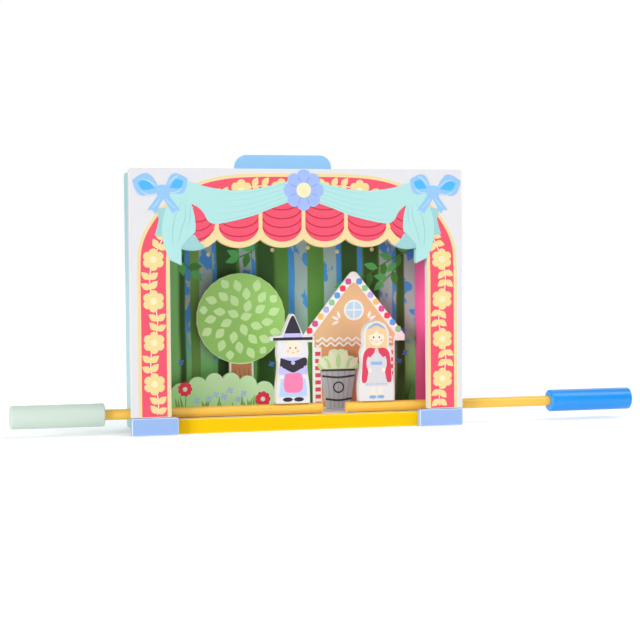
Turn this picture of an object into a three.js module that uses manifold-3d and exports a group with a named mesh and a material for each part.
// A child's tabletop puppet theatre: a painted wooden stage box with a picture-frame front,
// a lift-out backdrop, standing scenery and two puppets on hand wands.
// Millimetres, +Z up, the audience looks along +Y, origin on the table under the stage floor's centre.

import * as THREE from 'three';
import { mergeVertices } from 'three/addons/utils/BufferGeometryUtils.js';
import Module from 'manifold-3d';

const wasm = await Module();
wasm.setup();

// Play between pieces
const fitGap = 0.3;
const slideGap = 0.5;
const cutOverrun = 2;

// Front board, which stands proud of the stage box on both sides
const panelOverhang = 10.5;
const panelHeight = 245;
const panelThickness = 8;
const panelCorner = 3;

// Stage box behind it
const stageDepth = 100;
const boxWidth = 299;
const wallThickness = 9;
const wallCorner = 5;
const floorThickness = 14;
const railDepth = 6;

// Feet under the front board's columns
const footWidth = 43.5;
const footHeight = 16.5;
const footCorner = 2;
const footProud = 0.6;

// Opening with its scalloped valance and hanging tails, inset from the box's outer faces
const openingInset = 25.5;
const openingShift = 1;
const cuspHeight = 179.5;
const valanceShift = 3.5;
const scallopDrop = 7.8;
const scallopCount = 4;
const tailWidth = 11;
const tailTipHeight = 156;
const tailShoulderHeight = 161;
const tailFoldHeight = 171;
const tailFoldDrop = 5;
const tailFoldWidth = 30.6;

// Backdrop that lifts out of the rear slot by its tab
const backdropThickness = 4;
const grooveDepth = 4;
const backdropTopDrop = 1;
const tabWidth = 97.5;
const tabRise = 19;
const tabCorner = 12;
const tabShift = 6;

// Scenery boards that stand in slots in the floor, in two layers, at shares of the stage's half width
const sceneryThickness = 4;
const sceneryDepth = 66.7;
const sceneryTabWidth = 14;
const sceneryTabDepth = 4;
const crownRadius = 44;
const crownHeight = 104;
const trunkWidth = 24;
const treePlaceShare = -0.295;
const bushWidth = 102;
const bushHeight = 40;
const bushPlaceShare = -0.434;
const bushLobes = 6;
const cottageWidth = 84;
const cottageEaves = 105;
const cottageHeight = 134;
const cottageWallHeight = 71;
const cottageEavesDepth = 6;
const cottageRidgeRadius = 5;
const cottagePlaceShare = 0.516;
const tubWidth = 36;
const tubHeight = 38;
const tubFootWidth = 24;
const plantHeight = 22;
const plantLobes = 4;
const tubPlaceShare = 0.391;

// Hand wands
const dowelDiameter = 10;
const dowelLength = 236;
const dowelChamfer = 0.8;
const boreDiameter = 11;
const gripDiameter = 21.4;
const gripLength = 85.5;
const gripChamfer = 1.2;
const gripSocket = 28;
const wandDepth = 20;
const leftWandEnd = 25.5;
const rightWandEnd = 48.9;

// Puppets, pegged upright on their wands
const puppetThickness = 10;
const puppetInset = 29.5;
const hatPuppetHeight = 85;
const hatPuppetWidth = 33;
const hatBrimWidth = 42;
const capePuppetHeight = 77;
const capePuppetWidth = 34;
const pegDiameter = 4;
const pegInDowel = 6;
const pegInPuppet = 8;

// Glued dowel pins that join the boards
const pinDiameter = 5;
const pinLength = 24;
const pinInWall = 6;
const pinInPanel = 5;
const pinInFoot = 10;
const pinInRail = 4;
const columnPinInset = 12;
const boardPinShares = { front: 0.25, rear: 0.8 };
const uprightPinShares = { low: 0.25, high: 0.8 };
const railPinShare = 0.55;

// Satin paint
const paintRoughness = 0.5;

// Facets
const arcSteps = 12;
const cornerSteps = 4;
const roundSides = 32;
const pinSides = 12;

// Sizes and places that follow from those above
const panelWidth = boxWidth + 2 * panelOverhang;
const openingWidth = boxWidth - 2 * openingInset;
const scallopPitch = (openingWidth - 2 * (tailWidth + tailFoldWidth)) / scallopCount;
const frontY = -stageDepth / 2;
const rearY = stageDepth / 2;
const boxFrontY = frontY + panelThickness + fitGap;
const backBoardY = rearY - wallThickness;
const backdropY = backBoardY - slideGap - backdropThickness;
const roofRearY = backdropY - slideGap;
const innerHalf = boxWidth / 2 - wallThickness;
const boardHalf = innerHalf - fitGap;
const floorFrontY = boxFrontY + railDepth + fitGap;
const floorRearY = backBoardY - fitGap;
const wandY = frontY + wandDepth;
const wandZ = floorThickness + fitGap + dowelDiameter / 2;
const pinRadius = pinDiameter / 2;

const paint = (color) => new THREE.MeshStandardMaterial({ color, roughness: paintRoughness, metalness: 0 });

// Solids and cuts

function toManifold(geometry) {
  const bare = geometry.clone();
  bare.deleteAttribute('normal');
  bare.deleteAttribute('uv');
  const welded = mergeVertices(bare);
  const index = welded.getIndex().array;
  const kept = [];
  for (let i = 0; i < index.length; i += 3) {
    const [a, b, c] = [index[i], index[i + 1], index[i + 2]];
    if (a !== b && b !== c && c !== a) kept.push(a, b, c);
  }
  const vertProperties = new Float32Array(welded.getAttribute('position').array);
  const triVerts = new Uint32Array(kept);
  return new wasm.Manifold(new wasm.Mesh({ numProp: 3, vertProperties, triVerts }));
}

function toGeometry(manifold) {
  const mesh = manifold.getMesh();
  const geometry = new THREE.BufferGeometry();
  geometry.setAttribute('position', new THREE.BufferAttribute(mesh.vertProperties, 3));
  geometry.setIndex(new THREE.BufferAttribute(mesh.triVerts, 1));
  geometry.computeVertexNormals();
  return geometry;
}

// Cutters come in the theatre's own frame and are moved into the frame of the piece placed at `at`.
function cut(geometry, at, cutters) {
  let body = toManifold(geometry);
  for (const cutter of cutters) {
    const moved = cutter.clone().translate(-at.x, -at.y, -at.z);
    body = body.subtract(toManifold(moved));
  }
  return toGeometry(body);
}

// A box between two corners.
function boxBetween(low, high) {
  const size = new THREE.Vector3().subVectors(high, low);
  const centre = new THREE.Vector3().addVectors(low, high).multiplyScalar(1 / 2);
  return new THREE.BoxGeometry(size.x, size.y, size.z).translate(centre.x, centre.y, centre.z);
}

// A round bar along an axis, centred on a point.
function roundBar(axis, radius, length, centre, sides = pinSides) {
  const bar = new THREE.CylinderGeometry(radius, radius, length, sides);
  if (axis === 'x') bar.rotateZ(Math.PI / 2);
  if (axis === 'z') bar.rotateX(Math.PI / 2);
  return bar.translate(centre.x, centre.y, centre.z);
}

// An upright board that faces the audience: the outline's x runs right and its y runs up,
// and the board reaches back from its front face at y = 0.
function facingBoard(outline, thickness) {
  const settings = { depth: thickness, bevelEnabled: false, curveSegments: arcSteps };
  const board = new THREE.ExtrudeGeometry(outline, settings);
  const axes = [new THREE.Vector3(1, 0, 0), new THREE.Vector3(0, 0, 1), new THREE.Vector3(0, -1, 0)];
  return board.applyMatrix4(new THREE.Matrix4().makeBasis(...axes)).translate(0, thickness, 0);
}

// An upright board seen edge-on by the audience: the outline's x runs back and its y runs up,
// and the board reaches right from its left face at x = 0.
function sideBoard(outline, thickness) {
  const settings = { depth: thickness, bevelEnabled: false, curveSegments: cornerSteps };
  const board = new THREE.ExtrudeGeometry(outline, settings);
  const axes = [new THREE.Vector3(0, 1, 0), new THREE.Vector3(0, 0, 1), new THREE.Vector3(1, 0, 0)];
  return board.applyMatrix4(new THREE.Matrix4().makeBasis(...axes));
}

const theatre = new THREE.Group();

function place(name, geometry, material, at, parent = theatre) {
  const mesh = new THREE.Mesh(geometry, material);
  mesh.name = name;
  mesh.position.copy(at);
  parent.add(mesh);
}

// Dowel pins: where each lies, and which boards it joins

const pins = [];

function addPin(name, axis, centre, boards) {
  pins.push({ name, axis, centre, boards });
}

for (const [side, sign] of [['left', -1], ['right', 1]]) {
  const wall = `side_wall_${side}`;
  const foot = `foot_${side}`;
  const endX = sign * (innerHalf + pinInWall - pinLength / 2);
  const wallX = sign * (boxWidth / 2 - wallThickness / 2);
  const columnX = openingShift + sign * (openingWidth / 2 + columnPinInset);

  for (const [end, share] of Object.entries(boardPinShares)) {
    const floorPinY = floorFrontY + share * (floorRearY - floorFrontY);
    const roofPinY = boxFrontY + share * (roofRearY - boxFrontY);
    const floorPin = new THREE.Vector3(endX, floorPinY, floorThickness / 2);
    const roofPin = new THREE.Vector3(endX, roofPinY, panelHeight - wallThickness / 2);
    addPin(`floor_pin_${side}_${end}`, 'x', floorPin, [wall, 'stage_floor']);
    addPin(`roof_pin_${side}_${end}`, 'x', roofPin, [wall, 'roof_board']);
  }
  for (const [level, share] of Object.entries(uprightPinShares)) {
    const pinZ = share * panelHeight;
    const backPin = new THREE.Vector3(endX, rearY - wallThickness / 2, pinZ);
    const panelPin = new THREE.Vector3(wallX, boxFrontY - fitGap - pinInPanel + pinLength / 2, pinZ);
    addPin(`back_pin_${side}_${level}`, 'x', backPin, [wall, 'back_board']);
    addPin(`front_pin_${side}_${level}`, 'y', panelPin, [wall, 'front_board']);
  }
  const footPin = new THREE.Vector3(wallX, boxFrontY - fitGap - pinInPanel + pinLength / 2, footHeight / 2);
  const columnPin = new THREE.Vector3(columnX, frontY + panelThickness / 2, footHeight - pinInFoot + pinLength / 2);
  const railPinX = sign * railPinShare * boardHalf;
  const railPinY = boxFrontY + railDepth - pinInRail + pinLength / 2;
  const railPin = new THREE.Vector3(railPinX, railPinY, floorThickness / 2);
  addPin(`foot_pin_${side}`, 'y', footPin, [wall, foot]);
  addPin(`column_pin_${side}`, 'z', columnPin, [foot, 'front_board']);
  addPin(`rail_pin_${side}`, 'y', railPin, ['front_rail', 'stage_floor']);
}

function pinHoles(board) {
  const held = pins.filter((pin) => pin.boards.includes(board));
  return held.map((pin) => roundBar(pin.axis, pinRadius + fitGap, pinLength + 2 * fitGap, pin.centre));
}

// Front board: a picture frame whose opening hangs down in scallops between two tails

function scallop(shape, fromX, fromZ, toX, toZ, drop) {
  const chord = Math.hypot(toX - fromX, toZ - fromZ);
  const radius = (chord * chord / 4 + drop * drop) / (2 * drop);
  const rise = radius - drop;
  const centreX = (fromX + toX) / 2 - rise * (toZ - fromZ) / chord;
  const centreZ = (fromZ + toZ) / 2 + rise * (toX - fromX) / chord;
  const start = Math.atan2(fromZ - centreZ, fromX - centreX);
  const end = Math.atan2(toZ - centreZ, toX - centreX);
  shape.absarc(centreX, centreZ, radius, start, end, false);
}

function frontOutline() {
  const half = panelWidth / 2;
  const base = footHeight + fitGap;
  const left = openingShift - openingWidth / 2;
  const right = openingShift + openingWidth / 2;
  const firstCusp = valanceShift - scallopCount / 2 * scallopPitch;
  const lastCusp = valanceShift + scallopCount / 2 * scallopPitch;
  const shape = new THREE.Shape();
  shape.moveTo(-half, base);
  shape.lineTo(left, base);
  shape.lineTo(left, tailShoulderHeight);
  shape.lineTo(left + tailWidth, tailTipHeight);
  shape.lineTo(left + tailWidth, tailFoldHeight);
  scallop(shape, left + tailWidth, tailFoldHeight, firstCusp, cuspHeight, tailFoldDrop);
  for (let i = 0; i < scallopCount; i += 1) {
    const x = firstCusp + i * scallopPitch;
    scallop(shape, x, cuspHeight, x + scallopPitch, cuspHeight, scallopDrop);
  }
  scallop(shape, lastCusp, cuspHeight, right - tailWidth, tailFoldHeight, tailFoldDrop);
  shape.lineTo(right - tailWidth, tailTipHeight);
  shape.lineTo(right, tailShoulderHeight);
  shape.lineTo(right, base);
  shape.lineTo(half, base);
  shape.absarc(half - panelCorner, panelHeight - panelCorner, panelCorner, 0, Math.PI / 2, false);
  shape.absarc(-half + panelCorner, panelHeight - panelCorner, panelCorner, Math.PI / 2, Math.PI, false);
  return shape;
}

function addFrontBoard() {
  const at = new THREE.Vector3(0, frontY, 0);
  const board = facingBoard(frontOutline(), panelThickness);
  place('front_board', cut(board, at, pinHoles('front_board')), paint('#e8eaf0'), at);
}

// Feet: blocks under the columns, a little wider and prouder than they are

function roundedRectangle(width, height, radius) {
  const shape = new THREE.Shape();
  shape.absarc(radius, radius, radius, Math.PI, 3 * Math.PI / 2, false);
  shape.absarc(width - radius, radius, radius, 3 * Math.PI / 2, 2 * Math.PI, false);
  shape.absarc(width - radius, height - radius, radius, 0, Math.PI / 2, false);
  shape.absarc(radius, height - radius, radius, Math.PI / 2, Math.PI, false);
  return shape;
}

function addFeet() {
  const outline = roundedRectangle(footWidth, footHeight, footCorner);
  for (const [side, x] of [['left', -panelWidth / 2], ['right', panelWidth / 2 - footWidth]]) {
    const at = new THREE.Vector3(x, frontY - footProud, 0);
    const foot = facingBoard(outline, panelThickness + footProud);
    place(`foot_${side}`, cut(foot, at, pinHoles(`foot_${side}`)), paint('#9ebef0'), at);
  }
}

// Side walls: round back corners, a bore for the wand and a groove for the backdrop

function wallOutline(depth) {
  const shape = new THREE.Shape();
  shape.moveTo(0, 0);
  shape.lineTo(depth - wallCorner, 0);
  shape.absarc(depth - wallCorner, wallCorner, wallCorner, 3 * Math.PI / 2, 2 * Math.PI, false);
  shape.absarc(depth - wallCorner, panelHeight - wallCorner, wallCorner, 0, Math.PI / 2, false);
  shape.lineTo(0, panelHeight);
  return shape;
}

function addSideWalls() {
  for (const [side, sign] of [['left', -1], ['right', 1]]) {
    const name = `side_wall_${side}`;
    const leftFace = sign < 0 ? -boxWidth / 2 : innerHalf;
    const at = new THREE.Vector3(leftFace, boxFrontY, 0);
    const boreCentre = new THREE.Vector3(leftFace + wallThickness / 2, wandY, wandZ);
    const boreLength = wallThickness + 2 * cutOverrun;
    const bore = roundBar('x', boreDiameter / 2, boreLength, boreCentre, roundSides);
    const grooveX = [sign * (innerHalf - cutOverrun), sign * (innerHalf + grooveDepth)].sort((a, b) => a - b);
    const groove = boxBetween(
      new THREE.Vector3(grooveX[0], backdropY - slideGap, floorThickness),
      new THREE.Vector3(grooveX[1], backBoardY, panelHeight + cutOverrun),
    );
    const wall = sideBoard(wallOutline(rearY - boxFrontY), wallThickness);
    const cutters = [bore, groove, ...pinHoles(name)];
    place(name, cut(wall, at, cutters), paint('#aadadd'), at);
  }
}

// Floor, front rail, roof and back board between the walls

function addFlatBoard(name, low, high, material, extraCuts = []) {
  const at = new THREE.Vector3().addVectors(low, high).multiplyScalar(1 / 2);
  const board = boxBetween(low, high).translate(-at.x, -at.y, -at.z);
  place(name, cut(board, at, [...pinHoles(name), ...extraCuts]), material, at);
}

function addInnerBoards(slots) {
  addFlatBoard(
    'stage_floor',
    new THREE.Vector3(-boardHalf, floorFrontY, 0),
    new THREE.Vector3(boardHalf, floorRearY, floorThickness),
    paint('#e6e6e2'),
    slots,
  );
  addFlatBoard(
    'front_rail',
    new THREE.Vector3(-boardHalf, boxFrontY, 0),
    new THREE.Vector3(boardHalf, boxFrontY + railDepth, floorThickness),
    paint('#ffd000'),
  );
  addFlatBoard(
    'roof_board',
    new THREE.Vector3(-boardHalf, boxFrontY, panelHeight - wallThickness),
    new THREE.Vector3(boardHalf, roofRearY, panelHeight),
    paint('#aadadd'),
  );
  addFlatBoard(
    'back_board',
    new THREE.Vector3(-boardHalf, backBoardY, 0),
    new THREE.Vector3(boardHalf, rearY, panelHeight),
    paint('#aadadd'),
  );
}

// Backdrop: one board in the wall grooves, with a rounded pull tab above the roof

function addBackdrop() {
  const half = innerHalf + grooveDepth - slideGap;
  const base = floorThickness + fitGap;
  const top = panelHeight - backdropTopDrop - base;
  const tabLeft = tabShift - tabWidth / 2;
  const tabRight = tabShift + tabWidth / 2;
  const tabTop = top + tabRise;
  const shape = new THREE.Shape();
  shape.moveTo(-half, 0);
  shape.lineTo(half, 0);
  shape.lineTo(half, top);
  shape.lineTo(tabRight, top);
  shape.absarc(tabRight - tabCorner, tabTop - tabCorner, tabCorner, 0, Math.PI / 2, false);
  shape.absarc(tabLeft + tabCorner, tabTop - tabCorner, tabCorner, Math.PI / 2, Math.PI, false);
  shape.lineTo(tabLeft, top);
  shape.lineTo(-half, top);
  const at = new THREE.Vector3(0, backdropY, base);
  place('backdrop', facingBoard(shape, backdropThickness), paint('#47702e'), at);
}

// Scenery: each outline starts along its foot, with tabs that drop into slots in the floor.
// A lobe's depth is a share of its chord, and tabs stand at shares of the board's half width.

const lobeShare = 0.36;
const bushShoulderShare = 0.45;
const bushDomeShare = 0.36;
const bushTabShare = 0.74;
const cottageTabShare = 0.8;

function footEdge(width, tabs) {
  const shape = new THREE.Shape();
  shape.moveTo(-width / 2, 0);
  for (const tab of tabs) {
    shape.lineTo(tab - sceneryTabWidth / 2, 0);
    shape.lineTo(tab - sceneryTabWidth / 2, -sceneryTabDepth);
    shape.lineTo(tab + sceneryTabWidth / 2, -sceneryTabDepth);
    shape.lineTo(tab + sceneryTabWidth / 2, 0);
  }
  shape.lineTo(width / 2, 0);
  return shape;
}

function treeOutline(tabs) {
  const shape = footEdge(trunkWidth, tabs);
  const centre = crownHeight - floorThickness - fitGap;
  const edge = Math.asin(trunkWidth / 2 / crownRadius);
  shape.absarc(0, centre, crownRadius, edge - Math.PI / 2, 3 * Math.PI / 2 - edge, false);
  return shape;
}

// Round lobes from right to left over a dome whose height follows half a sine wave.
function lobedTop(shape, width, low, rise, lobes) {
  const height = (share) => low + rise * Math.sin(Math.PI * share);
  for (let i = 0; i < lobes; i += 1) {
    const from = i / lobes;
    const to = (i + 1) / lobes;
    const chord = Math.hypot(width / lobes, height(to) - height(from));
    scallop(shape, width * (1 / 2 - from), height(from), width * (1 / 2 - to), height(to), chord * lobeShare);
  }
}

function bushOutline(tabs) {
  const shape = footEdge(bushWidth, tabs);
  const shoulder = bushHeight * bushShoulderShare;
  shape.lineTo(bushWidth / 2, shoulder);
  lobedTop(shape, bushWidth, shoulder, bushHeight * bushDomeShare, bushLobes);
  return shape;
}

function cottageOutline(tabs) {
  const shape = footEdge(cottageWidth, tabs);
  const slope = Math.atan2(cottageHeight - cottageWallHeight, cottageEaves / 2);
  const ridgeZ = cottageHeight - cottageRidgeRadius;
  shape.lineTo(cottageWidth / 2, cottageWallHeight - cottageEavesDepth);
  shape.lineTo(cottageEaves / 2, cottageWallHeight - cottageEavesDepth);
  shape.lineTo(cottageEaves / 2, cottageWallHeight);
  shape.absarc(0, ridgeZ, cottageRidgeRadius, Math.PI / 2 - slope, Math.PI / 2 + slope, false);
  shape.lineTo(-cottageEaves / 2, cottageWallHeight);
  shape.lineTo(-cottageEaves / 2, cottageWallHeight - cottageEavesDepth);
  shape.lineTo(-cottageWidth / 2, cottageWallHeight - cottageEavesDepth);
  return shape;
}

function tubOutline(tabs) {
  const shape = footEdge(tubFootWidth, tabs);
  shape.lineTo(tubWidth / 2, tubHeight);
  lobedTop(shape, tubWidth, tubHeight, plantHeight - tubWidth / plantLobes * lobeShare, plantLobes);
  return shape;
}

function addScenery() {
  const rearLayer = sceneryDepth + sceneryThickness + fitGap;
  const bushTab = bushTabShare * bushWidth / 2;
  const cottageTab = cottageTabShare * cottageWidth / 2;
  const boards = [
    ['tree_board', treeOutline, treePlaceShare, rearLayer, [0], '#76ac58'],
    ['bush_board', bushOutline, bushPlaceShare, sceneryDepth, [-bushTab, bushTab], '#a9dc8e'],
    ['cottage_board', cottageOutline, cottagePlaceShare, rearLayer, [-cottageTab, cottageTab], '#e4af7d'],
    ['tub_board', tubOutline, tubPlaceShare, sceneryDepth, [0], '#8f8f92'],
  ];
  const slots = [];
  for (const [name, outline, share, depth, tabs, colour] of boards) {
    const x = share * innerHalf;
    const at = new THREE.Vector3(x, frontY + depth, floorThickness + fitGap);
    place(name, facingBoard(outline(tabs), sceneryThickness), paint(colour), at);
    for (const tab of tabs) {
      const reach = sceneryTabWidth / 2 + fitGap;
      slots.push(boxBetween(
        new THREE.Vector3(x + tab - reach, at.y - fitGap, floorThickness - sceneryTabDepth),
        new THREE.Vector3(x + tab + reach, at.y + sceneryThickness + fitGap, floorThickness + cutOverrun),
      ));
    }
  }
  return slots;
}

// Wands: a dowel in a bored grip, and a puppet pegged on top of the dowel

function turnedAlongX(profile, sides) {
  return new THREE.LatheGeometry(profile, sides).rotateZ(-Math.PI / 2);
}

function dowelGeometry() {
  const radius = dowelDiameter / 2;
  const profile = [
    new THREE.Vector2(0, 0),
    new THREE.Vector2(radius - dowelChamfer, 0),
    new THREE.Vector2(radius, dowelChamfer),
    new THREE.Vector2(radius, dowelLength),
    new THREE.Vector2(0, dowelLength),
  ];
  return turnedAlongX(profile, roundSides);
}

function gripGeometry() {
  const radius = gripDiameter / 2;
  const bore = dowelDiameter / 2 + fitGap;
  const socket = gripSocket + fitGap;
  const profile = [
    new THREE.Vector2(0, socket),
    new THREE.Vector2(bore, socket),
    new THREE.Vector2(bore, 0),
    new THREE.Vector2(radius - gripChamfer, 0),
    new THREE.Vector2(radius, gripChamfer),
    new THREE.Vector2(radius, gripLength - gripChamfer),
    new THREE.Vector2(radius - gripChamfer, gripLength),
    new THREE.Vector2(0, gripLength),
  ];
  return turnedAlongX(profile, roundSides);
}

// Puppet outlines: half widths and heights as shares, up the right side; the left side mirrors them.
const hatBodyShares = [[1, 0], [0.97, 0.2], [0.84, 0.42], [0.92, 0.56], [0.86, 0.7]];
const hatBrimShares = [0.7, 0.745];
const hatConeShares = [[0.62, 0.765], [0.42, 0.85], [0.2, 0.95], [0.1, 0.99]];
const capeShares = [[1, 0], [1.03, 0.2], [0.84, 0.44], [0.9, 0.6], [0.74, 0.7], [0.76, 0.84], [0.5, 0.96], [0, 1]];
const sideSteps = 14;

function smoothSide(shares, width, height) {
  const points = shares.map(([x, z]) => new THREE.Vector2(x * width / 2, z * height));
  return new THREE.SplineCurve(points).getPoints(sideSteps);
}

function mirroredOutline(side) {
  const shape = new THREE.Shape();
  const left = side.filter((point) => point.x > 0).reverse();
  shape.moveTo(-side[0].x, 0);
  for (const point of side) shape.lineTo(point.x, point.y);
  for (const point of left) shape.lineTo(-point.x, point.y);
  return shape;
}

function hatPuppetOutline() {
  const body = smoothSide(hatBodyShares, hatPuppetWidth, hatPuppetHeight);
  const brim = hatBrimShares.map((share) => new THREE.Vector2(hatBrimWidth / 2, share * hatPuppetHeight));
  const cone = smoothSide(hatConeShares, hatPuppetWidth, hatPuppetHeight);
  return mirroredOutline([...body, ...brim, ...cone, new THREE.Vector2(0, hatPuppetHeight)]);
}

function capePuppetOutline() {
  return mirroredOutline(smoothSide(capeShares, capePuppetWidth, capePuppetHeight));
}

function addWand(side, sign, endX, gripColour, puppetName, outline) {
  const axis = new THREE.Group();
  axis.position.set(endX, wandY, wandZ);
  theatre.add(axis);

  const pegReach = dowelDiameter / 2 + fitGap + pegInPuppet;
  const pegFoot = dowelDiameter / 2 - pegInDowel;
  const pegPlace = new THREE.Vector3(sign * puppetInset, 0, (pegFoot + pegReach) / 2);
  const pegHole = roundBar('z', pegDiameter / 2 + fitGap, pegReach - pegFoot + 2 * fitGap, pegPlace);
  const origin = new THREE.Vector3(0, 0, 0);

  const dowel = dowelGeometry();
  const grip = gripGeometry();
  if (sign < 0) {
    dowel.rotateZ(Math.PI);
    grip.rotateZ(Math.PI);
  }
  const gripAt = new THREE.Vector3(sign * (dowelLength - gripSocket), 0, 0);
  place(`${side}_dowel`, cut(dowel, origin, [pegHole]), paint('#ffbe55'), origin, axis);
  place(`${side}_grip`, grip, paint(gripColour), gripAt, axis);

  const puppetAt = new THREE.Vector3(sign * puppetInset, -puppetThickness / 2, dowelDiameter / 2 + fitGap);
  const puppet = cut(facingBoard(outline, puppetThickness), puppetAt, [pegHole]);
  place(puppetName, puppet, paint('#f3f3f5'), puppetAt, axis);
  const peg = roundBar('z', pegDiameter / 2, pegReach - pegFoot, origin);
  place(`${side}_peg`, peg, paint('#d9b37a'), pegPlace, axis);
}

// Assembly

addFrontBoard();
addFeet();
addSideWalls();
addInnerBoards(addScenery());
addBackdrop();
for (const pin of pins) {
  const origin = new THREE.Vector3(0, 0, 0);
  place(pin.name, roundBar(pin.axis, pinRadius, pinLength, origin), paint('#d9b37a'), pin.centre);
}
addWand('left', -1, leftWandEnd, '#cde1d4', 'hat_puppet', hatPuppetOutline());
addWand('right', 1, rightWandEnd, '#1f8be8', 'cape_puppet', capePuppetOutline());

export default theatre;
